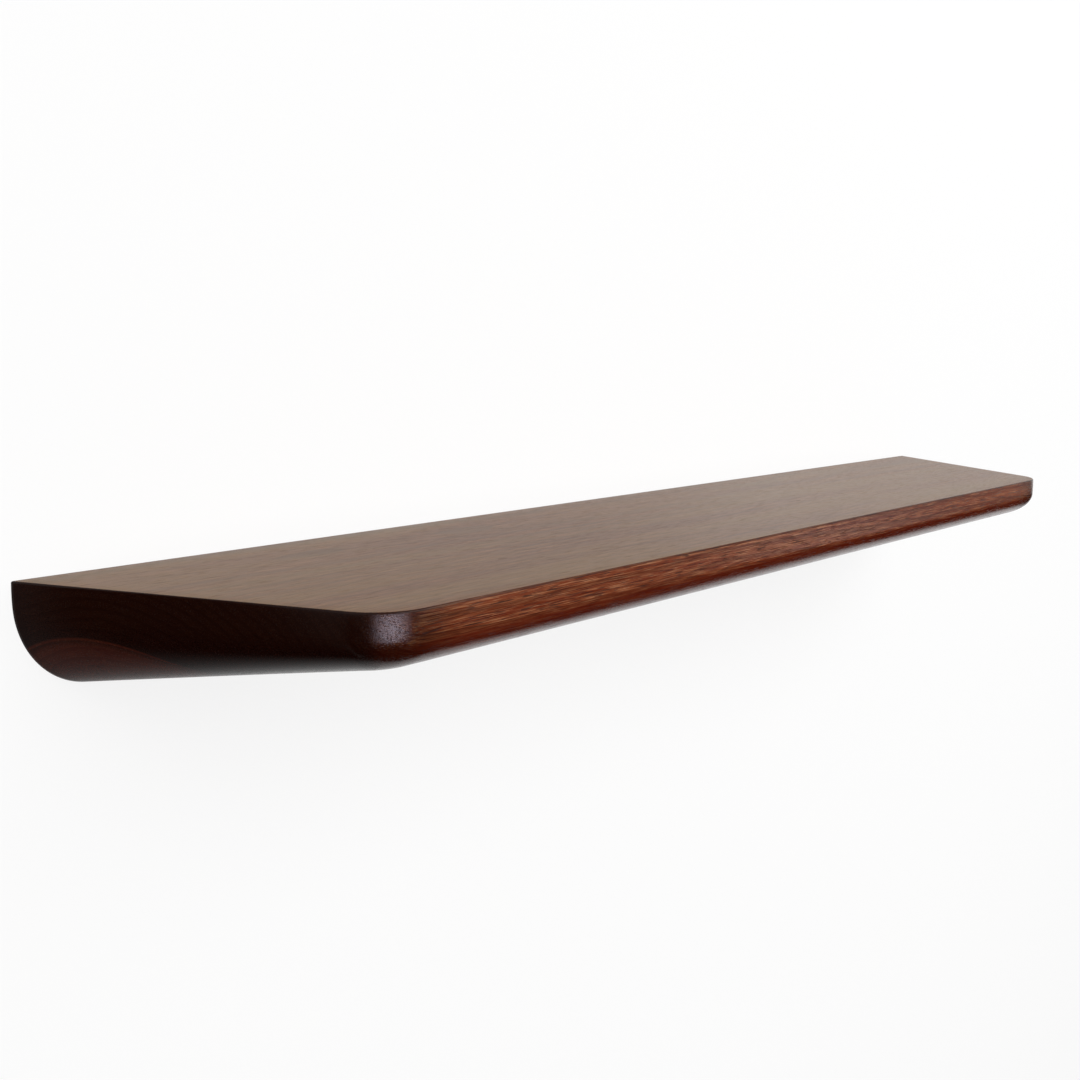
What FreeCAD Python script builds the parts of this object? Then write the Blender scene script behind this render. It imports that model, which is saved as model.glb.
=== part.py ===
import FreeCAD, Part

import math
import os

import Sketcher
from FreeCAD import Vector

# A floating wall shelf: one solid plank with slanted ends and a rounded underside, pushed on to
# the rods of a concealed steel bracket that is screwed to the wall.
# Millimetres. The origin is the centre of the bracket bar's back face, on the wall.
# +X runs along the wall, +Y points into the wall and +Z is up.

SIZES = {
    # plank, seen from above
    "shelf_length": 750.0,
    "shelf_depth": 152.4,
    "end_slant": 28.5,
    "corner_inner_radius": 2.0,
    # plank, seen from the end
    "back_thickness": 49.5,
    "front_thickness": 24.5,
    "edge_band": 11.0,
    "round_width": 26.5,
    "round_fullness": 0.727,
    "top_edge_radius": 0.8,
    # bracket bar
    "bar_end_cover": 70.0,
    "bar_height": 25.0,
    "bar_thickness": 5.0,
    "bar_corner_radius": 3.0,
    "bar_drop": 21.0,
    "stud_spacing": 406.4,
    "stud_hole_diameter": 6.5,
    # support rods
    "rod_count": 4,
    "rod_end_margin": 55.0,
    "rod_diameter": 12.0,
    "rod_reach": 100.0,
    "rod_tip_chamfer": 0.5,
    "spigot_diameter": 8.0,
    # wall screws
    "screw_count": 5,
    "screw_end_margin": 20.0,
    "screw_length": 50.0,
    "screw_head_diameter": 8.8,
    "screw_shank_diameter": 5.0,
    "countersink_angle": 90.0,
    "drive_width": 4.6,
    "drive_blade": 1.0,
    "drive_depth": 2.2,
    # wall plugs
    "plug_diameter": 8.0,
    "plug_length": 40.0,
    "plug_sleeve": 14.0,
    "plug_leg_relief": 0.3,
    "plug_slot_width": 1.2,
    # clearances
    "groove_gap": 0.6,
    "bore_gap": 0.2,
    "bore_end_gap": 3.0,
    "spigot_gap": 0.05,
    "screw_hole_gap": 0.25,
    "head_seat_gap": 0.05,
    "plug_screw_gap": 0.1,
    "plug_recess": 0.5,
}

doc = FreeCAD.newDocument("floating_wall_shelf")
sheet = doc.addObject("Spreadsheet::Sheet", "Sizes")
for row, (alias, number) in enumerate(SIZES.items(), start=1):
    sheet.set(f"A{row}", alias)
    sheet.set(f"B{row}", str(number))
    sheet.setAlias(f"B{row}", alias)
doc.recompute()

# Sizes and places that several pieces share, as expressions on the sheet.
BAR_LENGTH = "(Sizes.shelf_length - 2 * Sizes.bar_end_cover)"
BAR_FRONT = "-Sizes.bar_thickness"
ROD_END = "-(Sizes.bar_thickness + Sizes.rod_reach)"
ROD_BORE_DEPTH = "Sizes.bar_thickness + Sizes.rod_reach + Sizes.bore_end_gap"
ROD_BORE_DIAMETER = "Sizes.rod_diameter + 2 * Sizes.bore_gap"
SPIGOT_HOLE_DIAMETER = "Sizes.spigot_diameter + 2 * Sizes.spigot_gap"
SCREW_HOLE_DIAMETER = "Sizes.screw_shank_diameter + 2 * Sizes.screw_hole_gap"
PLUG_BORE_RADIUS = "Sizes.screw_shank_diameter / 2 + Sizes.plug_screw_gap"
PLUG_END = "Sizes.plug_recess + Sizes.plug_length"

TINY = 1e-6  # lengths closer than this count as equal


def value(expression):
    """The number that an expression on the sheet gives."""
    return float(sheet.evalExpression(str(expression)))


def spread_along_bar(count, end_margin):
    """Equally spaced places along the bar, the outer ones a margin from its ends."""
    span = f"({BAR_LENGTH} - 2 * {end_margin})"
    return [f"({index} / ({count} - 1) - 0.5) * {span}" for index in range(int(value(count)))]


ROD_PLACES = spread_along_bar("Sizes.rod_count", "Sizes.rod_end_margin")
SCREW_PLACES = spread_along_bar("Sizes.screw_count", "Sizes.screw_end_margin")
STUD_PLACES = ["-Sizes.stud_spacing / 2", "Sizes.stud_spacing / 2"]


# Sketches


def origin_part(body, role):
    return next(part for part in body.Origin.OriginFeatures if part.Role == role)


def new_sketch(body, role, name, offset="0"):
    """A sketch on one of the body's own origin planes, moved along the plane's normal."""
    sketch = body.newObject("Sketcher::SketchObject", name)
    sketch.AttachmentSupport = [(origin_part(body, role), "")]
    sketch.MapMode = "FlatFace"
    sketch.setExpression("AttachmentOffset.Base.z", offset)
    return sketch


def hold(sketch, constraint, expression):
    """Adds a constraint whose size follows the sheet."""
    index = sketch.addConstraint(constraint)
    sketch.setExpression(f"Constraints[{index}]", expression)


def hold_point(sketch, geometry, end, place):
    """Ties one point of the sketch to the origin in both directions."""
    across, up = place
    hold(sketch, Sketcher.Constraint("DistanceX", -1, 1, geometry, end, value(across)), across)
    hold(sketch, Sketcher.Constraint("DistanceY", -1, 1, geometry, end, value(up)), up)


def draw_polygon(sketch, corners):
    """A closed polygon, each corner given as two expressions."""
    places = [Vector(value(across), value(up), 0) for across, up in corners]
    count = len(places)
    for index in range(count):
        line = Part.LineSegment(places[index], places[(index + 1) % count])
        sketch.addGeometry(line, False)
    for index in range(count):
        sketch.addConstraint(
            Sketcher.Constraint("Coincident", index, 2, (index + 1) % count, 1)
        )
    for index, corner in enumerate(corners):
        hold_point(sketch, index, 1, corner)


def draw_circles(sketch, places, diameter):
    """Circles of one diameter in a row along the sketch's own X axis."""
    radius = f"({diameter}) / 2"
    for across in places:
        centre = Vector(value(across), 0, 0)
        circle = Part.Circle(centre, Vector(0, 0, 1), value(radius))
        index = sketch.addGeometry(circle, False)
        hold(sketch, Sketcher.Constraint("Radius", index, value(radius)), radius)
        hold_point(sketch, index, 3, (across, "0"))


def centred_rectangle(width, height):
    """The corners of a rectangle about the origin, as expressions."""
    half_width = f"({width}) / 2"
    half_height = f"({height}) / 2"
    return [
        (f"-{half_width}", f"-{half_height}"),
        (half_width, f"-{half_height}"),
        (half_width, half_height),
        (f"-{half_width}", half_height),
    ]


# Features


def edges_where(shape, test):
    """Names of the edges that a test accepts."""
    return [f"Edge{index}" for index, edge in enumerate(shape.Edges, start=1) if test(edge)]


def round_edges(body, name, radius, test):
    doc.recompute()
    base = body.Tip
    fillet = body.newObject("PartDesign::Fillet", name)
    fillet.Base = (base, edges_where(base.Shape, test))
    fillet.setExpression("Radius", radius)
    body.Tip = fillet
    doc.recompute()
    return fillet


def pad(body, sketch, name, length):
    """Thickens a sketch along its own normal."""
    feature = body.newObject("PartDesign::Pad", name)
    feature.Profile = sketch
    feature.setExpression("Length", length)
    doc.recompute()
    return feature


def cut(body, sketch, name, depth, reverse=False):
    """Cuts a sketch to a depth, and makes sure that something was cut away."""
    doc.recompute()
    before = body.Tip.Shape.Volume
    pocket = body.newObject("PartDesign::Pocket", name)
    pocket.Profile = sketch
    pocket.Reversed = reverse
    pocket.setExpression("Length", depth)
    doc.recompute()
    if pocket.Shape.Volume >= before:
        raise RuntimeError(f"{name} cuts nothing")
    return pocket


def revolve(body, role, name, corners):
    """Turns a half profile, drawn beside the body's Y axis, into a round piece about it."""
    sketch = new_sketch(body, role, f"{name}_profile")
    draw_polygon(sketch, corners)
    feature = body.newObject("PartDesign::Revolution", name)
    feature.Profile = sketch
    feature.ReferenceAxis = (sketch, ["V_Axis"])
    feature.Angle = 360
    doc.recompute()
    return feature


def new_body(label):
    body = doc.addObject("PartDesign::Body", label)
    body.Label = label
    return body


def place_along_wall(body, across):
    body.setExpression("Placement.Base.x", across)


# Plank


def plan_stations(inset):
    """The right half of the plank's outline, moved inwards by an inset.

    Gives the point at the wall, then the three control points of the corner arc. The slanted end
    is a straight line from the wall to the arc, and the front is straight beyond it.
    """
    slant = math.radians(value("Sizes.end_slant"))
    depth = value("Sizes.shelf_depth")
    half_length = value("Sizes.shelf_length") / 2
    corner_radius = value("Sizes.round_width + Sizes.corner_inner_radius")
    centre_y = corner_radius - depth
    centre_x = half_length + (centre_y * math.sin(slant) - corner_radius) / math.cos(slant)
    radius = corner_radius - inset
    half_turn = (math.pi / 2 - slant) / 2
    reaches = (radius, radius / math.cos(half_turn), radius)
    stations = [Vector(half_length - inset / math.cos(slant), 0, 0)]
    for step, reach in enumerate(reaches):
        angle = -slant - step * half_turn
        across = centre_x + reach * math.cos(angle)
        stations.append(Vector(across, centre_y + reach * math.sin(angle), 0))
    return stations


def top_height():
    return value("Sizes.bar_drop")


def underside_height(point):
    """The underside is a plane that climbs from the wall to the front edge."""
    share = -point.y / value("Sizes.shelf_depth")
    back = value("Sizes.back_thickness")
    front = value("Sizes.front_thickness")
    return top_height() - back - (front - back) * share


def at_height(point, height):
    return Vector(point.x, point.y, height)


def conic_patch(outer, inner, corner_weight):
    """One stretch of the round-over between the edge band and the flat underside.

    Each cross-section is a conic: it leaves the band straight down, meets the underside in line
    with its slope, and its fullness is the weight of the control point where those two cross.
    Along the shelf the patch is straight, or a circular arc at a corner.
    """
    band_end = top_height() - value("Sizes.edge_band")
    fullness = value("Sizes.round_fullness")
    poles = [
        [at_height(out, band_end), at_height(out, underside_height(out)),
         at_height(into, underside_height(into))]
        for out, into in zip(outer, inner)
    ]
    along = len(outer) - 1
    along_weights = [1.0, corner_weight, 1.0] if along == 2 else [1.0, 1.0]
    weights = [[weight, weight * fullness, weight] for weight in along_weights]
    surface = Part.BSplineSurface()
    surface.buildFromPolesMultsKnots(
        poles, [along + 1, along + 1], [3, 3], [0, 1], [0, 1], False, False, along, 2, weights
    )
    return surface


def mirrored(points):
    return [Vector(-point.x, point.y, point.z) for point in reversed(points)]


def ring(stations):
    """The whole outline as stretches: right end, right corner, front, left corner, left end."""
    wall, arc = stations[0], stations[1:]
    left = mirrored(arc)
    return [[wall, arc[0]], arc, [arc[-1], left[0]], left, [left[-1], mirrored([wall])[0]]]


def top_edge(stretch, corner_weight):
    """One stretch of the top outline: a straight line, or an arc from its control points."""
    points = [at_height(point, top_height()) for point in stretch]
    if len(points) == 2:
        return Part.makeLine(*points)
    start, apex, end = points
    middle = (start + end + apex * (2 * corner_weight)) * (0.5 / (1 + corner_weight))
    return Part.Arc(start, middle, end).toShape()


def flat_face(edges):
    return Part.Face(Part.Wire(Part.__sortEdges__(edges)))


def plank_solid():
    """The plank before it is grooved and bored: flat top, upright band, rounded underside."""
    corner_weight = math.cos((math.pi / 2 - math.radians(value("Sizes.end_slant"))) / 2)
    outer = ring(plan_stations(0))
    inner = ring(plan_stations(value("Sizes.round_width")))
    patches = [conic_patch(out, into, corner_weight) for out, into in zip(outer, inner)]
    down_band = Vector(0, 0, -value("Sizes.edge_band"))
    top_edges = [top_edge(stretch, corner_weight) for stretch in outer]
    underside_edges = [patch.vIso(1).toShape() for patch in patches]
    right, left = outer[0][0], outer[-1][-1]
    top_right, top_left = at_height(right, top_height()), at_height(left, top_height())
    top_line = Part.makeLine(top_right, top_left)
    underside_line = Part.makeLine(patches[0].getPole(1, 3), patches[-1].getPole(2, 3))
    back_edges = [
        top_line,
        Part.makeLine(top_right, top_right + down_band),
        patches[0].uIso(0).toShape(),
        underside_line,
        patches[-1].uIso(1).toShape(),
        Part.makeLine(top_left, top_left + down_band),
    ]
    faces = [edge.extrude(down_band) for edge in top_edges]
    faces += [patch.toShape() for patch in patches]
    faces += [flat_face(top_edges + [top_line]), flat_face(underside_edges + [underside_line])]
    faces.append(flat_face(back_edges))
    shell = Part.Shell(faces)
    shell.sewShape()
    shell.reverse()  # sewing leaves the faces pointing inwards
    return Part.makeSolid(shell)


def make_shelf_board():
    """The plank, with a groove for the bar and a bore for each rod in its back."""
    blank = doc.addObject("Part::Feature", "plank_blank")
    blank.Shape = plank_solid()
    body = new_body("shelf_board")
    body.BaseFeature = blank
    doc.recompute()

    top = top_height()

    def on_top_arris(edge):
        level = abs(edge.BoundBox.ZMin - top) < TINY and abs(edge.BoundBox.ZMax - top) < TINY
        return level and edge.BoundBox.YMin < -TINY

    round_edges(body, "top_arris", "Sizes.top_edge_radius", on_top_arris)

    groove = new_sketch(body, "XZ_Plane", "bar_groove_outline")
    width = f"{BAR_LENGTH} + 2 * Sizes.groove_gap"
    height = "Sizes.bar_height + 2 * Sizes.groove_gap"
    draw_polygon(groove, centred_rectangle(width, height))
    groove_depth = "Sizes.bar_thickness + Sizes.groove_gap"
    cut(body, groove, "bar_groove", groove_depth, reverse=True)
    groove_floor = -value(groove_depth)

    def in_groove_corner(edge):
        box = edge.BoundBox
        runs_in = box.XLength < TINY and box.ZLength < TINY and box.YLength > TINY
        return runs_in and box.YMin > groove_floor - TINY

    cutter_radius = "Sizes.bar_corner_radius + Sizes.groove_gap"
    round_edges(body, "groove_corners", cutter_radius, in_groove_corner)

    bores = new_sketch(body, "XZ_Plane", "rod_bore_circles")
    draw_circles(bores, ROD_PLACES, ROD_BORE_DIAMETER)
    cut(body, bores, "rod_bores", ROD_BORE_DEPTH, reverse=True)
    return body


# Bracket


def make_bracket_bar():
    """Flat steel bar with seats for the rods, countersunk screw holes and two spare holes."""
    body = new_body("bracket_bar")
    outline = new_sketch(body, "XZ_Plane", "bar_outline")
    draw_polygon(outline, centred_rectangle(BAR_LENGTH, "Sizes.bar_height"))
    pad(body, outline, "flat_bar", "Sizes.bar_thickness")

    def across_thickness(edge):
        box = edge.BoundBox
        return box.XLength < TINY and box.ZLength < TINY

    round_edges(body, "bar_corners", "Sizes.bar_corner_radius", across_thickness)

    seats = new_sketch(body, "XZ_Plane", "rod_seat_circles")
    draw_circles(seats, ROD_PLACES, SPIGOT_HOLE_DIAMETER)
    cut(body, seats, "rod_seats", "Sizes.bar_thickness", reverse=True)

    spare = new_sketch(body, "XZ_Plane", "stud_hole_circles")
    draw_circles(spare, STUD_PLACES, "Sizes.stud_hole_diameter")
    cut(body, spare, "stud_holes", "Sizes.bar_thickness", reverse=True)

    circles = new_sketch(body, "XZ_Plane", "screw_hole_circles", "Sizes.bar_thickness")
    draw_circles(circles, SCREW_PLACES, SCREW_HOLE_DIAMETER)
    doc.recompute()
    before = body.Tip.Shape.Volume
    holes = body.newObject("PartDesign::Hole", "screw_holes")
    holes.Profile = circles
    holes.DepthType = "ThroughAll"
    holes.ThreadType = "None"
    holes.setExpression("Diameter", SCREW_HOLE_DIAMETER)
    holes.HoleCutType = "Countersink"
    holes.HoleCutCustomValues = True
    holes.setExpression("HoleCutDiameter", "Sizes.screw_head_diameter + 2 * Sizes.head_seat_gap")
    holes.setExpression("HoleCutCountersinkAngle", "Sizes.countersink_angle")
    doc.recompute()
    if holes.Shape.Volume >= before:
        raise RuntimeError("screw_holes cuts nothing")
    return body


def make_support_rod(label, across):
    """A round rod with a smaller spigot that fills its seat in the bar."""
    body = new_body(label)
    rod_radius = "Sizes.rod_diameter / 2"
    spigot_radius = "Sizes.spigot_diameter / 2"
    tip_radius = f"{rod_radius} - Sizes.rod_tip_chamfer"
    corners = [
        ("0", "0"),
        (spigot_radius, "0"),
        (spigot_radius, BAR_FRONT),
        (rod_radius, BAR_FRONT),
        (rod_radius, f"{ROD_END} + Sizes.rod_tip_chamfer"),
        (tip_radius, ROD_END),
        ("0", ROD_END),
    ]
    revolve(body, "XY_Plane", "rod", corners)
    place_along_wall(body, across)
    return body


# Wall fixings


def cross_outline(width, blade):
    """The twelve corners of an upright cross, as expressions."""
    half = f"({width}) / 2"
    thin = f"({blade}) / 2"
    arm = [(half, f"-{thin}"), (half, thin), (thin, thin)]
    corners = []
    for _ in range(4):
        corners += arm
        arm = [(f"-({up})", across) for across, up in arm]
    return corners


def make_wall_screw(label, across):
    """A countersunk screw with its head flush in the bar and its shank in the plug."""
    body = new_body(label)
    head_radius = "Sizes.screw_head_diameter / 2"
    shank_radius = "Sizes.screw_shank_diameter / 2"
    cone_length = f"({head_radius} - {shank_radius}) / tan(Sizes.countersink_angle / 2)"
    screw_end = f"{BAR_FRONT} + Sizes.screw_length"
    corners = [
        ("0", BAR_FRONT),
        (head_radius, BAR_FRONT),
        (shank_radius, f"{BAR_FRONT} + {cone_length}"),
        (shank_radius, screw_end),
        ("0", screw_end),
    ]
    revolve(body, "XY_Plane", "screw", corners)
    drive = new_sketch(body, "XZ_Plane", "drive_outline", "Sizes.bar_thickness")
    draw_polygon(drive, cross_outline("Sizes.drive_width", "Sizes.drive_blade"))
    cut(body, drive, "cross_drive", "Sizes.drive_depth")
    place_along_wall(body, across)
    return body


def make_wall_plug(label, across):
    """A nylon plug: a plain sleeve at the wall face, then four slimmer legs that spread."""
    body = new_body(label)
    sleeve_radius = "Sizes.plug_diameter / 2"
    leg_radius = f"{sleeve_radius} - Sizes.plug_leg_relief"
    sleeve_end = "Sizes.plug_recess + Sizes.plug_sleeve"
    corners = [
        (PLUG_BORE_RADIUS, "Sizes.plug_recess"),
        (sleeve_radius, "Sizes.plug_recess"),
        (sleeve_radius, sleeve_end),
        (leg_radius, sleeve_end),
        (leg_radius, PLUG_END),
        (PLUG_BORE_RADIUS, PLUG_END),
    ]
    revolve(body, "XY_Plane", "plug", corners)

    slot = new_sketch(body, "XY_Plane", "leg_slot_outline")
    half_slot = "Sizes.plug_slot_width / 2"
    slot_corners = [
        (f"-{half_slot}", sleeve_end),
        (half_slot, sleeve_end),
        (half_slot, PLUG_END),
        (f"-{half_slot}", PLUG_END),
    ]
    draw_polygon(slot, slot_corners)
    doc.recompute()
    before = body.Tip.Shape.Volume
    leg_slot = body.newObject("PartDesign::Pocket", "leg_slot")
    leg_slot.Profile = slot
    leg_slot.Type = "ThroughAll"
    leg_slot.Midplane = True
    slots = body.newObject("PartDesign::PolarPattern", "leg_slots")
    slots.Originals = [leg_slot]
    slots.Axis = (origin_part(body, "Y_Axis"), [""])
    slots.Angle = 90
    slots.Occurrences = 2
    body.Tip = slots
    doc.recompute()
    if slots.Shape.Volume >= leg_slot.Shape.Volume or leg_slot.Shape.Volume >= before:
        raise RuntimeError("leg_slots cuts nothing")
    place_along_wall(body, across)
    return body


pieces = [make_shelf_board(), make_bracket_bar()]
for number, across in enumerate(ROD_PLACES, start=1):
    pieces.append(make_support_rod(f"support_rod_{number}", across))
for number, across in enumerate(SCREW_PLACES, start=1):
    pieces.append(make_wall_screw(f"wall_screw_{number}", across))
    pieces.append(make_wall_plug(f"wall_plug_{number}", across))

doc.recompute()
for item in doc.Objects:
    if "Invalid" in item.State or "Error" in item.State:
        raise RuntimeError(f"{item.Label} did not build: {item.State}")
for piece in pieces:
    if piece.Shape.isNull() or not piece.Shape.isValid() or len(piece.Shape.Solids) != 1:
        raise RuntimeError(f"{piece.Label} is not one sound solid")

os.makedirs("parts", exist_ok=True)
for piece in pieces:
    piece.Shape.exportStep(f"parts/{piece.Label}.step")
    print(piece.Label, round(piece.Shape.Volume, 1), "mm3")
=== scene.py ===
"""Looks of a floating wall shelf: an oiled hardwood plank on a concealed steel bracket.

Metres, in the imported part's own frame: +X along the wall, +Y into the wall, +Z up.
"""
import bmesh
import bpy
import math
import numpy as np
from mathutils import Matrix, Vector


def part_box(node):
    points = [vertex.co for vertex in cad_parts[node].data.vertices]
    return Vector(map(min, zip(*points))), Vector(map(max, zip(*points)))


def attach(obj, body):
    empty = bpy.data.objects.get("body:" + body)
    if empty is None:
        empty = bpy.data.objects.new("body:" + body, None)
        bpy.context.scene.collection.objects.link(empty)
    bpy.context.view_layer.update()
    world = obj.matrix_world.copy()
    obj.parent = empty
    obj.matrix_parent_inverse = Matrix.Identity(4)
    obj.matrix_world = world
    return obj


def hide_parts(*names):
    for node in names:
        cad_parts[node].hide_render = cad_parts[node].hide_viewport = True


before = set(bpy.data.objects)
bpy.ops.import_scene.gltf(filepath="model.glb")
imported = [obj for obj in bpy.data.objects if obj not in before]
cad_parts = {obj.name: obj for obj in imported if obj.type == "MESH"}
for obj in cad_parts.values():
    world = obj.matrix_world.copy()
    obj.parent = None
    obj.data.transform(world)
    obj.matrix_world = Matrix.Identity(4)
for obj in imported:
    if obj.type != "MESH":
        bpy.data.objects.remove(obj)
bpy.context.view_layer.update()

MM = 0.001
RODS = range(1, 5)
SCREWS = range(1, 6)

# The plank's overall sizes come from the frame, and the rest repeat the part's named sizes.
plank_low, plank_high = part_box("shelf_board")
HALF_LENGTH = plank_high.x
DEPTH = -plank_low.y
TOP = plank_high.z
BACK_THICKNESS = plank_high.z - plank_low.z
FRONT_THICKNESS = 24.5 * MM
END_SLANT = math.radians(28.5)
EDGE_BAND = 11 * MM
ROUND_WIDTH = 26.5 * MM
CORNER_RADIUS = ROUND_WIDTH + 2 * MM
ARRIS_RADIUS = 0.8 * MM
GROOVE_GAP = 0.6 * MM
BORE_GAP = 0.2 * MM
BORE_END_GAP = 3 * MM

# What sanding by hand adds to them: the edge band leans in towards the top, and the roll below
# it is fuller where the plank is thinner.
BAND_LEAN = 0.35 * MM
BASE_FULLNESS = 0.66
ADDED_FULLNESS = 2.6 * MM

# How many points the plank's surface has along each stretch of its outline and its section.
END_POINTS, CORNER_POINTS, FRONT_POINTS = 40, 33, 60
FLAT_POINTS, ARRIS_POINTS, BAND_POINTS, ROLL_POINTS = 5, 9, 9, 33

bar_low, bar_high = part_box("bracket_bar")
BAR_THICKNESS = bar_high.y - bar_low.y
BAR_CORNER_RADIUS = 3 * MM


# Meshes


def soften(mesh):
    """Shades a mesh smooth, but for edges sharper than 30 degrees."""
    mesh.shade_smooth()
    mesh.set_sharp_from_angle(angle=math.radians(30))


def make_piece(name, points, faces):
    """A mesh object at the origin, its seams and poles closed."""
    mesh = bpy.data.meshes.new(name)
    mesh.from_pydata(np.asarray(points).reshape(-1, 3).tolist(), [], faces)
    welded = bmesh.new()
    welded.from_mesh(mesh)
    bmesh.ops.remove_doubles(welded, verts=welded.verts, dist=1e-7)
    welded.to_mesh(mesh)
    welded.free()
    soften(mesh)
    piece = bpy.data.objects.new(name, mesh)
    bpy.context.scene.collection.objects.link(piece)
    return piece


def cut_away(piece, name, points, faces):
    """Takes a closed shape out of a piece, and keeps the result as the piece's own mesh."""
    cutter = make_piece(name, points, faces)
    boolean = piece.modifiers.new(name, "BOOLEAN")
    boolean.operation = "DIFFERENCE"
    boolean.solver = "EXACT"
    boolean.object = cutter
    evaluated = piece.evaluated_get(bpy.context.evaluated_depsgraph_get())
    result = bpy.data.meshes.new_from_object(evaluated)
    piece.modifiers.remove(boolean)
    bpy.data.objects.remove(cutter)
    soften(result)
    piece.data = result


def placed_copy(pattern, name, across):
    """A copy of a piece with its mesh moved sideways; the object stays at the origin."""
    mesh = pattern.data.copy()
    mesh.transform(Matrix.Translation((across, 0, 0)))
    piece = bpy.data.objects.new(name, mesh)
    bpy.context.scene.collection.objects.link(piece)
    return piece


def grid_faces(rows, columns, closed=False):
    """Quads between the neighbouring points of a grid, whose rows may close on themselves."""
    row, column = np.meshgrid(np.arange(rows - 1), np.arange(columns - (not closed)), indexing="ij")
    following = (column + 1) % columns
    corners = [row * columns + column, row * columns + following,
               (row + 1) * columns + following, (row + 1) * columns + column]
    return np.stack(corners, -1).reshape(-1, 4).tolist()


def full_turn(around):
    """Evenly spaced angles once round."""
    return np.linspace(0, 2 * math.pi, around, endpoint=False)


def turned(radius, y, angle):
    """Points (radius * cos angle, y, radius * sin angle), on rows about the Y axis, and the
    faces between them. The radius and y may change with the row and with the angle."""
    radius, y, angle = np.broadcast_arrays(radius, y, angle)
    points = np.stack([radius * np.cos(angle), y, radius * np.sin(angle)], -1)
    return points, grid_faces(*radius.shape, closed=True)


def prism(outline, start, end, start_scale=1.0):
    """A closed prism: an outline of (x, z) points, anticlockwise, carried straight against Y,
    from a scaled copy of it at the start."""
    count = len(outline)
    rows = [np.column_stack([outline[:, 0] * scale, np.full(count, y), outline[:, 1] * scale])
            for y, scale in ((start, start_scale), (end, 1.0))]
    caps = [list(range(count - 1, -1, -1)), list(range(count, 2 * count))]
    return np.concatenate(rows), grid_faces(2, count, closed=True) + caps


def rounded_rectangle(half_width, half_height, radius):
    """A rectangle of (x, z) points with a quarter circle at each corner."""
    turn = np.linspace(0, math.pi / 2, 9)
    corner = np.column_stack([half_width - radius + radius * np.cos(turn),
                              half_height - radius + radius * np.sin(turn)])
    flipped = corner[::-1]
    return np.concatenate([corner, flipped * [-1, 1], corner * [-1, -1], flipped * [1, -1]])


def circle(centre_x, radius):
    """A circle of points (centre_x + radius * cos turn, radius * sin turn)."""
    turn = full_turn(72)
    return np.column_stack([centre_x + radius * np.cos(turn), radius * np.sin(turn)])


# Plank


def outline_path(inset):
    """The plank's outline from the wall round to the wall, moved inwards by each inset.

    Three stretches make its right half: a line slanted by END_SLANT, an arc about the corner's
    centre with radius CORNER_RADIUS - inset, and the front line; the left half mirrors them.
    Gives an array of (x, y) for every station and inset.
    """
    inset = np.asarray(inset, float)[None, :]
    centre_y = CORNER_RADIUS - DEPTH
    centre_x = HALF_LENGTH + (centre_y * math.sin(END_SLANT) - CORNER_RADIUS) / math.cos(END_SLANT)
    turn = np.linspace(-END_SLANT, -math.pi / 2, CORNER_POINTS)[:, None]
    radius = CORNER_RADIUS - inset
    corner = np.stack([centre_x + radius * np.cos(turn), centre_y + radius * np.sin(turn)], -1)
    wall = np.stack([HALF_LENGTH - inset / math.cos(END_SLANT), 0 * inset], -1)
    along_end = np.linspace(0, 1, END_POINTS)[:-1, None, None]
    end = wall * (1 - along_end) + corner[:1] * along_end
    along_front = np.linspace(0, 1, FRONT_POINTS)[1:, None, None]
    front_middle = corner[-1:] * [0, 1]
    half_front = corner[-1:] * (1 - along_front) + front_middle * along_front
    half = np.concatenate([end, corner, half_front])
    return np.concatenate([half, half[-2::-1] * [-1, 1]])


def underside(y):
    """Height of the flat underside, which climbs from the wall to the front."""
    return TOP - BACK_THICKNESS + (BACK_THICKNESS - FRONT_THICKNESS) * -y / DEPTH


def plank_surface():
    """A cross-section carried along the outline: flat top, quarter-round arris, edge band,
    and a rational quadratic (conic) from the band to the underside, whose middle control point
    lies where an upright line from the band meets the underside. That point's weight is
    BASE_FULLNESS + ADDED_FULLNESS / the conic's height, so the roll is fuller where it is low.
    The band is upright at its foot and leans in towards the arris by BAND_LEAN times the square
    of the share of its height.
    """
    flat_inset = np.linspace(ROUND_WIDTH, BAND_LEAN + ARRIS_RADIUS, FLAT_POINTS)[:-1]
    quarter = np.linspace(0, math.pi / 2, ARRIS_POINTS)
    arris_inset = BAND_LEAN + ARRIS_RADIUS * (1 - np.sin(quarter))
    arris_drop = ARRIS_RADIUS * (1 - np.cos(quarter))
    band_share = np.linspace(1, 0, BAND_POINTS)[1:]
    band_drop = EDGE_BAND - (EDGE_BAND - ARRIS_RADIUS) * band_share
    inset = np.concatenate([flat_inset, arris_inset, BAND_LEAN * band_share ** 2])
    drop = np.concatenate([0 * flat_inset, arris_drop, band_drop])
    upper_path = outline_path(inset)
    upper = np.concatenate([upper_path, (TOP - drop + 0 * upper_path[..., 0])[..., None]], -1)

    outer, inner = np.moveaxis(outline_path([0, ROUND_WIDTH]), 1, 0)
    band_end = np.column_stack([outer, np.full(len(outer), TOP - EDGE_BAND)])
    crossing = np.column_stack([outer, underside(outer[:, 1])])
    flat_start = np.column_stack([inner, underside(inner[:, 1])])
    fullness = BASE_FULLNESS + ADDED_FULLNESS / (TOP - EDGE_BAND - crossing[:, 2])
    share = np.linspace(0, 1, ROLL_POINTS)[1:][None, :, None]
    weights = [(1 - share) ** 2, 2 * fullness[:, None, None] * share * (1 - share), share ** 2]
    controls = [band_end[:, None], crossing[:, None], flat_start[:, None]]
    roll = sum(w * c for w, c in zip(weights, controls)) / sum(weights)
    return np.concatenate([upper, roll], 1)


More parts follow.
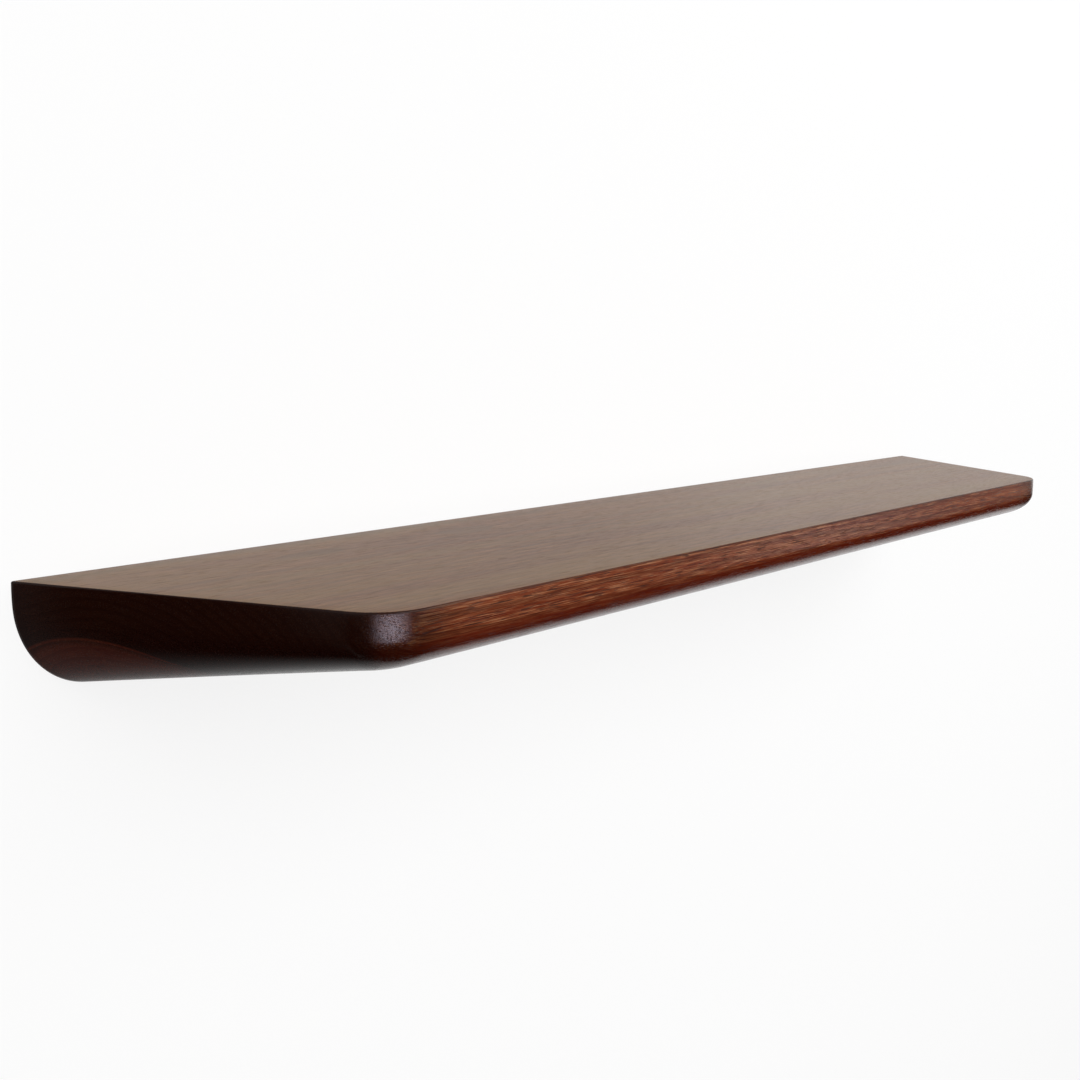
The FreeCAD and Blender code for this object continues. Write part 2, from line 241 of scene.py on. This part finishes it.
def plank_mesh():
    """The carried section, left end first so that it faces outwards, with its flat top,
    underside and back filled in."""
    surface = plank_surface()[::-1]
    stations, steps = surface.shape[:2]
    index = np.arange(stations * steps).reshape(stations, steps)
    caps = [index[:, 0].tolist(), index[::-1, -1].tolist()]
    caps.append(np.concatenate([index[-1], index[0, ::-1]]).tolist())
    return surface, grid_faces(stations, steps) + caps


def make_plank():
    """The plank, with a groove for the bar and a bore for each rod cut into its back."""
    plank = make_piece("plank", *plank_mesh())
    groove = rounded_rectangle(bar_high.x + GROOVE_GAP, bar_high.z + GROOVE_GAP,
                               BAR_CORNER_RADIUS + GROOVE_GAP)
    beyond_back = 5 * MM
    groove_floor = -BAR_THICKNESS - GROOVE_GAP
    cut_away(plank, "groove_cutter", *prism(groove, beyond_back, groove_floor))
    in_groove = -BAR_THICKNESS / 2
    for number in RODS:
        low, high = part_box(f"support_rod_{number}")
        bore = circle((low.x + high.x) / 2, (high.x - low.x) / 2 + BORE_GAP)
        cut_away(plank, "bore_cutter", *prism(bore, in_groove, low.y - BORE_END_GAP))
    return plank


# Bracket rods, and the screws and plugs, which are made about the Y axis and then moved sideways


def make_rod(number):
    """A turned rod: its spigot fills the seat in the bar, and its tip is chamfered."""
    low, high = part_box(f"support_rod_{number}")
    rod_radius = (high.x - low.x) / 2
    spigot, chamfer, around = 4 * MM, 0.5 * MM, 96
    profile = np.array([
        (0, high.y), (spigot, high.y), (spigot, -BAR_THICKNESS), (rod_radius, -BAR_THICKNESS),
        (rod_radius, low.y + chamfer), (rod_radius - chamfer, low.y), (0, low.y)])
    points, faces = turned(profile[:, :1], profile[:, 1:], full_turn(around))
    points[..., 0] += (low.x + high.x) / 2
    return make_piece(f"rod_{number}", points, faces)


def make_screw():
    """A countersunk wood screw with a cross recess.

    Its radius is a function of y and the angle: a plain neck, then a core with a ridge wherever
    y / pitch - angle / one turn is near a half, all shrunk to nothing in the point. The head is
    a 45 degree cone with a narrow upright rim.
    """
    pitch, crest, core, neck = 2.5 * MM, 2.5 * MM, 1.7 * MM, 2.0 * MM
    half_ridge = 0.24
    thread_start, tip, point_length = 8 * MM, 45 * MM, 9 * MM
    neck_start, cone_foot = -2.6 * MM, -3.1 * MM
    rim_foot, head_top = -4.9 * MM, -5 * MM
    cone_radius, rim_radius = 2.5 * MM, 4.3 * MM
    along, around = 300, 40

    y = np.linspace(tip, neck_start, along)[:, None]
    angle = full_turn(around)
    turn = (y / pitch - angle / (2 * math.pi)) % 1
    ridge = np.clip(1 - np.abs(turn - 0.5) / half_ridge, 0, 1)
    threaded = np.clip((y - thread_start) / pitch, 0, 1)
    plain = np.where(y > thread_start, core, neck)
    shank = (plain + (crest - plain) * ridge * threaded) * np.clip((tip - y) / point_length, 0, 1)
    head = np.array([(cone_radius, cone_foot), (rim_radius, rim_foot), (rim_radius, head_top),
                     (0, head_top)])
    radius = np.concatenate([shank, head[:, :1] + 0 * angle])
    screw = make_piece("screw", *turned(radius, np.concatenate([y, head[:, 1:]]), angle))

    reach, blade = 2.3 * MM, 0.5 * MM
    recess_floor, above_head, narrowing = -2.8 * MM, -5.4 * MM, 0.55
    arm = np.array([(reach, -blade), (reach, blade), (blade, blade)])
    quarter_turns = [np.array([[c, s], [-s, c]]) for c, s in ((1, 0), (0, 1), (-1, 0), (0, -1))]
    cross = np.concatenate([arm @ quarter_turn for quarter_turn in quarter_turns])
    cut_away(screw, "recess_cutter", *prism(cross, recess_floor, above_head, narrowing))
    return screw


def make_plug():
    """A wall plug: a finned sleeve with a collar, then four legs with saw teeth.

    Its outer radius is a function of y and the angle. On the sleeve, four fins stand where the
    cosine of four times the angle is near one. On the legs, the radius grows with the share of
    each tooth's length, and shrinks again in the nose. The bore has a wider mouth, and two
    slots across each other part the legs.
    """
    mouth, collar_end, sleeve_end, end = 0.5 * MM, 1.3 * MM, 14.5 * MM, 40.5 * MM
    collar_radius, sleeve_radius = 4 * MM, 3.85 * MM
    fin_height, fin_count, fin_steepness, fin_foot = 0.15 * MM, 4, 8, 6.5
    leg_radius, tooth_height, tooth_length = 3.3 * MM, 0.4 * MM, 2.6 * MM
    nose_length, nose_drop = 1.5 * MM, 0.5 * MM
    bore, mouth_radius, mouth_depth = 2.6 * MM, 3.1 * MM, 0.6 * MM
    along, around = 260, 64

    y = np.linspace(end, mouth, along)[:, None]
    angle = full_turn(around)
    waves = np.cos(fin_count * (angle - math.pi / 4))
    fins = np.clip(fin_steepness * waves - fin_foot, 0, 1)
    sleeve = np.where(y < collar_end, collar_radius, sleeve_radius + fin_height * fins)
    teeth = tooth_height * ((end - y) / tooth_length % 1)
    nose = nose_drop * (np.clip((end - y) / nose_length, 0, 1) - 1)
    outer = np.where(y < sleeve_end, sleeve, leg_radius + teeth + nose)
    inner = np.array([(mouth_radius, mouth), (bore, mouth + mouth_depth), (bore, end)])
    radius = np.concatenate([outer, inner[:, :1] + 0 * angle, outer[:1]])
    plug = make_piece("plug", *turned(radius, np.concatenate([y, inner[:, 1:], y[:1]]), angle))

    half_slot, past, below_end = 0.6 * MM, 5 * MM, 1 * MM
    slot = np.array([(past, -half_slot), (past, half_slot), (-past, half_slot),
                     (-past, -half_slot)])
    for outline in (slot, slot[::-1, ::-1]):
        cut_away(plug, "slot_cutter", *prism(outline, end + below_end, sleeve_end))
    return plug


# Materials


def linear(hex_colour):
    """An sRGB hex colour as the linear colour that a shader socket takes."""
    channels = [int(hex_colour[i:i + 2], 16) / 255 for i in (1, 3, 5)]
    return [c / 12.92 if c <= 0.04045 else ((c + 0.055) / 1.055) ** 2.4 for c in channels] + [1.0]


def add(tree, kind, inputs=None, **settings):
    """Adds a node, gives it its settings, links or sets its inputs, and gives its outputs."""
    node = tree.nodes.new(kind)
    for name, setting in settings.items():
        setattr(node, name, setting)
    for socket, source in (inputs or {}).items():
        if isinstance(source, bpy.types.NodeSocket):
            tree.links.new(source, node.inputs[socket])
        else:
            node.inputs[socket].default_value = source
    return node.outputs


def new_material(name):
    """A material with no nodes yet, and its node tree."""
    material = bpy.data.materials.new(name)
    material.use_nodes = True
    material.node_tree.nodes.clear()
    return material, material.node_tree


def unevenness(tree, place, sizes, detail=3, roughness=0.5):
    """How a grain or a finish wavers: soft noise whose features measure the sizes, in metres
    along X, Y and Z."""
    scaled = add(tree, "ShaderNodeVectorMath", {0: place, 1: [1 / size for size in sizes]},
                 operation="MULTIPLY")
    return add(tree, "ShaderNodeTexNoise", {"Vector": scaled[0], "Scale": 1, "Detail": detail,
                                            "Roughness": roughness})["Fac"]


def oiled_walnut():
    """Walnut, planed, sanded and oiled: satin, straight-grained and red-brown.

    The eye gets long soft streaks with fine dark dashes in them, which are the open pores. The
    ends are nearly black: the end grain's own darker colour with painted shade on it, which
    also reaches the sides near the ends, and a paler heart low down, partly painted sheen. The
    level top is painted a lighter, yellower brown as painted light, the underside a deeper red as
    painted shade, and wear has dulled the top and closed its grain. A painted shade line runs
    along the arris.
    """
    material, tree = new_material("oiled_walnut")
    place = add(tree, "ShaderNodeTexCoord")["Object"]
    normal = add(tree, "ShaderNodeNewGeometry")["Normal"]
    at = add(tree, "ShaderNodeSeparateXYZ", {0: place})
    facing = add(tree, "ShaderNodeSeparateXYZ", {0: normal})
    wood = {"x": at["X"], "y": at["Y"], "z": at["Z"], "facing_x": facing["X"], "up": facing["Z"]}

    # Growth rings are cylinders along X about a pith below the plank.
    from_pith = add(tree, "ShaderNodeVectorMath",
                    {0: place, 1: (0, 1, 1), 2: (0, 31 * MM, 63 * MM)}, operation="MULTIPLY_ADD")
    sideways = add(tree, "ShaderNodeVectorMath", {0: normal, 1: (1, 1, 0)}, operation="MULTIPLY")
    for name, vector in (("radius", from_pith), ("steepness", sideways)):
        wood[name] = add(tree, "ShaderNodeVectorMath", {0: vector[0]}, operation="LENGTH")["Value"]

    # Sizes in mm along X, Y and Z. The rings lie nearly flat, so most features are deeper than
    # high. Fibres and pores are at most 0.2 mm wide, and are drawn wider so that they show.
    for name, sizes, detail, roughness in (
            ("wander", (260, 135, 45), 2, 0.5),
            ("broad_noise", (240, 21, 7), 3, 0.5),
            ("streak_noise", (160, 2.7, 0.9), 3, 0.65),
            ("fibres", (18, 0.64, 0.32), 3, 0.6),
            ("pore_noise", (8, 0.45, 0.45), 1, 0.5)):
        wood[name] = unevenness(tree, place, [size * MM for size in sizes], detail, roughness)

    # Each row works out one value from others: its name, the operation, and what it works on.
    # A smooth step goes from nought at its first number to one, or to its third, at its second.
    for name, operation, *values in (
            # The level top, where the grain is more closed.
            ("faces_up", "SMOOTHSTEP", "up", 0.9, 1),
            ("at_top", "SMOOTHSTEP", "z", TOP - 2 * MM, TOP - 1 * MM),
            ("level_top", "MULTIPLY", "faces_up", "at_top"),
            ("elsewhere", "SUBTRACT", 1, "level_top"),
            ("open_grain", "MULTIPLY_ADD", "level_top", -0.35, 1),
            # Rings 4.2 mm wide, each darker towards its end and then pale again at once.
            ("straight_rings", "DIVIDE", "radius", 4.2 * MM),
            ("rings", "MULTIPLY_ADD", "wander", 5, "straight_rings"),
            ("ring_share", "FRACT", "rings"),
            ("late_growth", "SMOOTHSTEP", "ring_share", 0.45, 0.97, 0.5),
            ("year_end", "SMOOTHSTEP", "ring_share", 1, 0.95),
            ("latewood", "MULTIPLY", "late_growth", "year_end"),
            # Colour bands, streaks and fibres, and pores that thin out through each ring.
            ("broad", "SMOOTHSTEP", "broad_noise", 0.3, 0.7),
            ("streak", "SMOOTHSTEP", "streak_noise", 0.4, 0.68, 0.65),
            ("pale", "SMOOTHSTEP", "fibres", 0.5, 0.68, 0.7),
            ("pale_fibre", "MULTIPLY", "pale", "open_grain"),
            ("dark", "SMOOTHSTEP", "fibres", 0.5, 0.32, 0.76),
            ("dark_fibre", "MULTIPLY", "dark", "open_grain"),
            ("dash", "SMOOTHSTEP", "pore_noise", 0.57, 0.63),
            ("early_growth", "MULTIPLY_ADD", "ring_share", -0.5, 1),
            ("early_pore", "MULTIPLY", "dash", "early_growth"),
            ("pore", "MULTIPLY", "early_pore", "open_grain"),
            ("pore_shade", "MULTIPLY", "pore", 0.8),
            # Painted light and shade: the level top is painted a lighter, yellower brown for the
            # light and reflection it gets, and the underside a deeper red for its shade.
            ("top_light_share", "MULTIPLY_ADD", "broad", 0.3, 0.36),
            ("painted_top_light", "MULTIPLY", "level_top", "top_light_share"),
            ("painted_underside_shade", "SMOOTHSTEP", "up", -0.02, -0.4, 0.7),
            # End grain, where a steep face looks along X, is darker in its own colour. Painted
            # shade deepens it and also darkens the sides within 45 mm of the ends.
            ("along_x", "ABSOLUTE", "facing_x"),
            ("steep", "MAXIMUM", "steepness", 0.01),
            ("endwards", "DIVIDE", "along_x", "steep"),
            ("end_face", "SMOOTHSTEP", "endwards", 0.05, 0.8, 0.96),
            ("side_face", "SMOOTHSTEP", "steepness", 0.05, 0.5),
            ("end_grain", "MULTIPLY", "end_face", "side_face"),
            ("reach", "MULTIPLY_ADD", "y", math.tan(END_SLANT), HALF_LENGTH),
            ("from_middle", "ABSOLUTE", "x"),
            ("from_end", "SUBTRACT", "reach", "from_middle"),
            ("near_end", "SMOOTHSTEP", "from_end", 45 * MM, 0, 0.8),
            ("painted_end_shade", "MULTIPLY", "near_end", "elsewhere"),
            ("end_grain_and_shade", "MAXIMUM", "end_grain", "painted_end_shade"),
            # A paler heart, palest at a ring line on its rim: the rim is grain, and the heart's
            # paleness is partly painted sheen.
            ("heart", "SMOOTHSTEP", "radius", 63 * MM, 58 * MM, 0.4),
            ("rim_inside", "SMOOTHSTEP", "radius", 61 * MM, 62 * MM, 0.35),
            ("rim_outside", "SMOOTHSTEP", "radius", 63 * MM, 62 * MM),
            ("rim", "MULTIPLY", "rim_inside", "rim_outside"),
            ("pale_heart_and_sheen", "ADD", "heart", "rim"),
            ("end_dark", "SUBTRACT", "end_grain_and_shade", "pale_heart_and_sheen"),
            # Painted shade: a dark line along the arris round the top.
            ("near_arris", "SMOOTHSTEP", "z", TOP - 1.2 * MM, TOP - 0.5 * MM, 0.6),
            ("arris", "MULTIPLY", "near_arris", "elsewhere"),
            # Relief of the fibres and pores, sanded away on the ends.
            ("raw_relief", "MULTIPLY_ADD", "pore", -0.7, "fibres"),
            ("sanded", "SMOOTHSTEP", "endwards", 0.72, 0.87),
            ("unsanded", "MULTIPLY_ADD", "sanded", -0.9, 1),
            ("side_relief", "MULTIPLY", "raw_relief", "unsanded"),
            ("relief", "MULTIPLY", "side_relief", "open_grain"),
            # Satin all over, duller on the level top and in the pores.
            ("satin", "MULTIPLY_ADD", "level_top", 0.16, 0.14),
            ("roughness", "MULTIPLY_ADD", "pore", 0.2, "satin")):
        values = [wood.get(value, value) for value in values]
        if operation == "SMOOTHSTEP":
            inputs = dict(zip(("Value", "From Min", "From Max", "To Max"), values))
            wood[name] = add(tree, "ShaderNodeMapRange", inputs, interpolation_type=operation)[0]
        else:
            wood[name] = add(tree, "ShaderNodeMath", dict(enumerate(values)),
                             operation=operation)[0]

    # Each colour covers what lies under it by its share.
    colour = linear("#5F2213")
    for share, covering in (
            ("broad", "#793922"), ("streak", "#8A5032"), ("pale_fibre", "#B4805C"),
            ("dark_fibre", "#38120A"), ("latewood", "#421A0D"), ("pore_shade", "#240B05"),
            # Painted: light on the top (#765E34), shade on the underside (#540F04), on the ends
            # (#170603, partly their own colour) and on the arris (#1E0A06).
            ("painted_top_light", "#765E34"), ("painted_underside_shade", "#540F04"), ("end_dark", "#170603"),
            ("arris", "#1E0A06")):
        colour = add(tree, "ShaderNodeMix", {0: wood[share], 6: colour, 7: linear(covering)},
                     data_type="RGBA")[2]

    # The grain stands up about 0.1 mm. Oil sinks in and leaves hardly a film on the wood, so its
    # gloss is much weaker than a varnish's.
    bump = add(tree, "ShaderNodeBump",
               {"Height": wood["relief"], "Strength": 0.3, "Distance": 0.12 * MM})
    shader = add(tree, "ShaderNodeBsdfPrincipled",
                 {"Base Color": colour, "Roughness": wood["roughness"], "IOR": 1.45,
                  "Specular IOR Level": 0.13, "Normal": bump[0]})
    add(tree, "ShaderNodeOutputMaterial", {"Surface": shader[0]})
    return material


def even_finish(name, dark, light, roughness, sizes, metallic=0.0, depth=0.01 * MM):
    """A finish that wavers softly between two near colours and two roughnesses. The sizes are
    those of its features along X, Y and Z, and the depth is how far its bump rises."""
    material, tree = new_material(name)
    noise = unevenness(tree, add(tree, "ShaderNodeTexCoord")["Object"], sizes)
    colour = add(tree, "ShaderNodeMix", {0: noise, 6: linear(dark), 7: linear(light)},
                 data_type="RGBA")
    shine = add(tree, "ShaderNodeMapRange", {"Value": noise, "From Min": 0.3, "From Max": 0.7,
                                             "To Min": roughness[0], "To Max": roughness[1]})
    bump = add(tree, "ShaderNodeBump", {"Height": noise, "Strength": 0.5, "Distance": depth})
    shader = add(tree, "ShaderNodeBsdfPrincipled",
                 {"Base Color": colour[2], "Roughness": shine[0], "Metallic": metallic,
                  "Normal": bump[0]})
    add(tree, "ShaderNodeOutputMaterial", {"Surface": shader[0]})
    return material


def dress(piece, material):
    """Gives a piece one material all over."""
    piece.data.materials.clear()
    piece.data.materials.append(material)


# Baked polyester powder: nearly black and satin, with the soft dimples of orange peel, a little
# under 1 mm across.
powder_coat = even_finish("black_powder_coat", "#18181A", "#232326", (0.42, 0.58),
                          [0.9 * MM] * 3, depth=0.03 * MM)
# Turned steel bar: fine rings run round it, as far apart as the tool's feed of 0.25 mm, so its
# gleam is broken into bright hoops.
turned_steel = even_finish("turned_steel", "#77797E", "#A2A3A5", (0.22, 0.42),
                           [40 * MM, 0.25 * MM, 40 * MM], metallic=1.0)
# Zinc plating with a thin yellow passivation: bright, with clouds 1.5 mm across.
zinc_plate = even_finish("zinc_plated_steel", "#AEB2B6", "#C6BC9C", (0.25, 0.42),
                         [1.5 * MM] * 3, metallic=1.0)
# Injection-moulded nylon: mid grey and matt, with faint flow marks 6 mm long down the plug.
nylon = even_finish("moulded_nylon", "#83868A", "#94979A", (0.48, 0.62),
                    [1.2 * MM, 6 * MM, 1.2 * MM], depth=0.02 * MM)


# The shelf

plank = make_plank()
dress(plank, oiled_walnut())
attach(plank, "board")
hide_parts("shelf_board")

dress(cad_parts["bracket_bar"], powder_coat)


def join_bracket(piece, material, node):
    """Dresses a piece that stays on the wall, joins it to the wall bracket's body, and hides the
    CAD solid that it stands for.
    """
    dress(piece, material)
    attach(piece, "wall_bracket")
    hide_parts(node)


for number in RODS:
    join_bracket(make_rod(number), turned_steel, f"support_rod_{number}")

screw_pattern = make_screw()
plug_pattern = make_plug()
for number in SCREWS:
    screw_low, screw_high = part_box(f"wall_screw_{number}")
    across = (screw_low.x + screw_high.x) / 2
    screw = placed_copy(screw_pattern, f"screw_{number}", across)
    plug = placed_copy(plug_pattern, f"plug_{number}", across)
    join_bracket(screw, zinc_plate, f"wall_screw_{number}")
    join_bracket(plug, nylon, f"wall_plug_{number}")
bpy.data.objects.remove(screw_pattern)
bpy.data.objects.remove(plug_pattern)


# Stage: a pale wall and floor

FLOOR = -1.35
WALL_HALF_WIDTH = 3.0
WALL_TOP = 1.8
WALL_GAP = 0.2 * MM
FLOOR_REACH = 12.0
CLEAR_REACH = 12 * MM
WHITENESS = 0.8
FILL_LEVEL = 0.35


def stage_plane(name, centre, across, upward, material):
    """A flat rectangle: two vectors go from its centre to the middles of its side and its top."""
    corners = [Vector(centre) + Vector(across) * x + Vector(upward) * y
               for x, y in ((-1, -1), (1, -1), (1, 1), (-1, 1))]
    plane = make_piece(name, corners, [[0, 1, 2, 3]])
    dress(plane, material)
    return plane


def seen_directly(tree):
    """One where a surface is seen, straight on or in a shiny or clear one, and nought where it
    only throws light on."""
    rays = add(tree, "ShaderNodeLightPath")
    seen = add(tree, "ShaderNodeMath", {0: rays["Is Camera Ray"], 1: rays["Is Glossy Ray"]},
               operation="ADD")
    return add(tree, "ShaderNodeMath", {0: seen[0], 1: rays["Is Transmission Ray"]},
               operation="ADD", use_clamp=True)[0]


def pale_paint(tree, seen_colour, bounced_colour):
    """Flat paint that is seen mostly as plain white with a light shadow."""
    seen = seen_directly(tree)
    colour = add(tree, "ShaderNodeMix", {0: seen, 6: linear(bounced_colour),
                                         7: linear(seen_colour)}, data_type="RGBA")
    paint = add(tree, "ShaderNodeBsdfDiffuse", {"Color": colour[2]})
    plain = add(tree, "ShaderNodeEmission", {"Color": linear(seen_colour), "Strength": 1})
    share = add(tree, "ShaderNodeMath", {0: seen, 1: WHITENESS}, operation="MULTIPLY")
    return add(tree, "ShaderNodeMixShader", {0: share[0], 1: paint[0], 2: plain[0]})[0]


def wall_paint():
    """White emulsion. Its back is clear, and so is what lies nearer than CLEAR_REACH to a
    surface that looks at it, so that the back of the shelf can be seen and is lit."""
    material, tree = new_material("wall_emulsion")
    behind = add(tree, "ShaderNodeNewGeometry")["Backfacing"]
    length = add(tree, "ShaderNodeLightPath")["Ray Length"]
    near = add(tree, "ShaderNodeMath", {0: length, 1: CLEAR_REACH}, operation="LESS_THAN")
    open_side = add(tree, "ShaderNodeMath", {0: behind, 1: near[0]}, operation="MAXIMUM")
    clear = add(tree, "ShaderNodeBsdfTransparent")
    mixed = add(tree, "ShaderNodeMixShader",
                {0: open_side[0], 1: pale_paint(tree, "#FFFFFF", "#F5F5F4"), 2: clear[0]})
    add(tree, "ShaderNodeOutputMaterial", {"Surface": mixed[0]})
    return material


def floor_paint():
    """Pale grey floor paint, which throws little light up at the shelf."""
    material, tree = new_material("floor_paint")
    paint = pale_paint(tree, "#EDECEA", "#6A6968")
    add(tree, "ShaderNodeOutputMaterial", {"Surface": paint})
    return material


stage_plane("wall", centre=(0, WALL_GAP, (FLOOR + WALL_TOP) / 2), across=(WALL_HALF_WIDTH, 0, 0),
            upward=(0, 0, (WALL_TOP - FLOOR) / 2), material=wall_paint())
stage_plane("floor", centre=(0, 0, FLOOR), across=(FLOOR_REACH, 0, 0),
            upward=(0, FLOOR_REACH, 0), material=floor_paint())


# Light and camera


def soft_lamp(name, azimuth, elevation, distance, size, level):
    """A square lamp aimed at the shelf. Azimuth 0 is straight out from the wall, and level 1
    lights a surface that faces the lamp as white."""
    a, e = math.radians(azimuth), math.radians(elevation)
    towards = Vector((math.sin(a) * math.cos(e), -math.cos(a) * math.cos(e), math.sin(e)))
    lamp = bpy.data.lights.new(name, "AREA")
    lamp.shape = "SQUARE"
    lamp.size = size
    lamp.energy = math.pi ** 2 * distance ** 2 * level
    holder = bpy.data.objects.new(name, lamp)
    bpy.context.scene.collection.objects.link(holder)
    holder.location = towards * distance
    holder.rotation_euler = towards.to_track_quat("Z", "Y").to_euler()


def reflected_card(name, centre, across, upward, strength, fade=None, colour="#FFFFFF"):
    """A plain card that only reflections see: bright as a window, or black as a flag.

    A fade is (brightest point, reach, edge strength, how much each axis counts): the card's
    strength falls smoothly to the edge strength at that reach from its brightest point.
    """
    material, tree = new_material(name)
    if fade:
        brightest, reach, edge_strength, counted = fade
        counted = Vector(counted)
        place = add(tree, "ShaderNodeTexCoord")["Object"]
        squeezed = add(tree, "ShaderNodeVectorMath", {0: place, 1: counted}, operation="MULTIPLY")
        away = add(tree, "ShaderNodeVectorMath",
                   {0: squeezed[0], 1: Vector(brightest) * counted}, operation="DISTANCE")
        strength = add(tree, "ShaderNodeMapRange",
                       {"Value": away["Value"], "From Min": 0, "From Max": reach,
                        "To Min": strength, "To Max": edge_strength},
                       interpolation_type="SMOOTHSTEP")[0]
    glow = add(tree, "ShaderNodeEmission", {"Color": linear(colour), "Strength": strength})
    add(tree, "ShaderNodeOutputMaterial", {"Surface": glow[0]})
    card = stage_plane(name, centre, across, upward, material)
    card.visible_camera = False
    card.visible_diffuse = False
    card.visible_shadow = False


soft_lamp("key_lamp", azimuth=10, elevation=22, distance=3.2, size=3.3, level=1.02)
# A window low on the left, which puts the soft spot on the near corner.
reflected_card("window_card", centre=(-0.85, -1.50, -0.45), across=(1.10, -0.46, 0),
               upward=(0, 0, 0.46), strength=30, colour="#ECEAFF",
               fade=((-0.85, -1.50, -0.30), 1.1, 0, (1, 1, 4.0)))
# A weaker one on the right, which puts a faint sheen on the far part of the front.
reflected_card("right_window", centre=(1.7, -1.25, -0.25), across=(0.25, 0.45, 0),
               upward=(0, 0, 0.26), strength=2.0, fade=((1.7, -1.25, -0.25), 0.52, 0, (1, 1, 1)))
# A flag on the wall beyond the left end keeps the end dark.
reflected_card("left_flag", centre=(-1.725, -0.001, -0.35), across=(1.275, 0, 0),
               upward=(0, 0, 0.65), strength=0)
# Two shades on the wall, below and above the shelf: the roll under the end, and the top towards
# the left, show the wall less bright than it is.
reflected_card("under_shade", centre=(-0.325, -0.001, -0.405), across=(0.125, 0, 0),
               upward=(0, 0, 0.425), strength=0.8, fade=((-0.20, 0, 0), 0.28, 0, (1, 0, 0)))
reflected_card("upper_shade", centre=(-0.10, -0.001, 0.15), across=(0.30, 0, 0),
               upward=(0, 0, 0.128), strength=1.0, fade=((0.20, 0, 0), 0.25, 0.8, (1, 0, 0)))
# Flags low on the wall and over the floor keep the lower part of the roll dark.
reflected_card("low_flag", centre=(0.15, -0.001, -0.95), across=(0.75, 0, 0),
               upward=(0, 0, 0.40), strength=0)
reflected_card("floor_flag", centre=(0, -6, FLOOR + 5 * MM), across=(12, 0, 0),
               upward=(0, 6, 0), strength=0)

# The world is seen as plain white, and fills the shadows softly.
world = bpy.data.worlds.new("studio")
world.use_nodes = True
bpy.context.scene.world = world
sky = world.node_tree
sky.nodes.clear()
level = add(sky, "ShaderNodeMapRange", {"Value": seen_directly(sky), "To Min": FILL_LEVEL,
                                        "To Max": 1.0})
background = add(sky, "ShaderNodeBackground", {"Color": (1, 1, 1, 1), "Strength": level[0]})
add(sky, "ShaderNodeOutputWorld", {"Surface": background[0]})

CAMERA_PLACE = (-0.4910, -0.4450, 0.1140)
CAMERA_YAW, CAMERA_PITCH = 0.7500, -0.1848
camera_data = bpy.data.cameras.new("camera")
camera_data.sensor_width = 36
camera_data.lens = 33.57
camera = bpy.data.objects.new("camera", camera_data)
bpy.context.scene.collection.objects.link(camera)
camera.location = CAMERA_PLACE
camera.rotation_euler = (math.pi / 2 + CAMERA_PITCH, 0, -CAMERA_YAW)
bpy.context.scene.camera = camera
bpy.context.scene.view_settings.view_transform = "Standard"
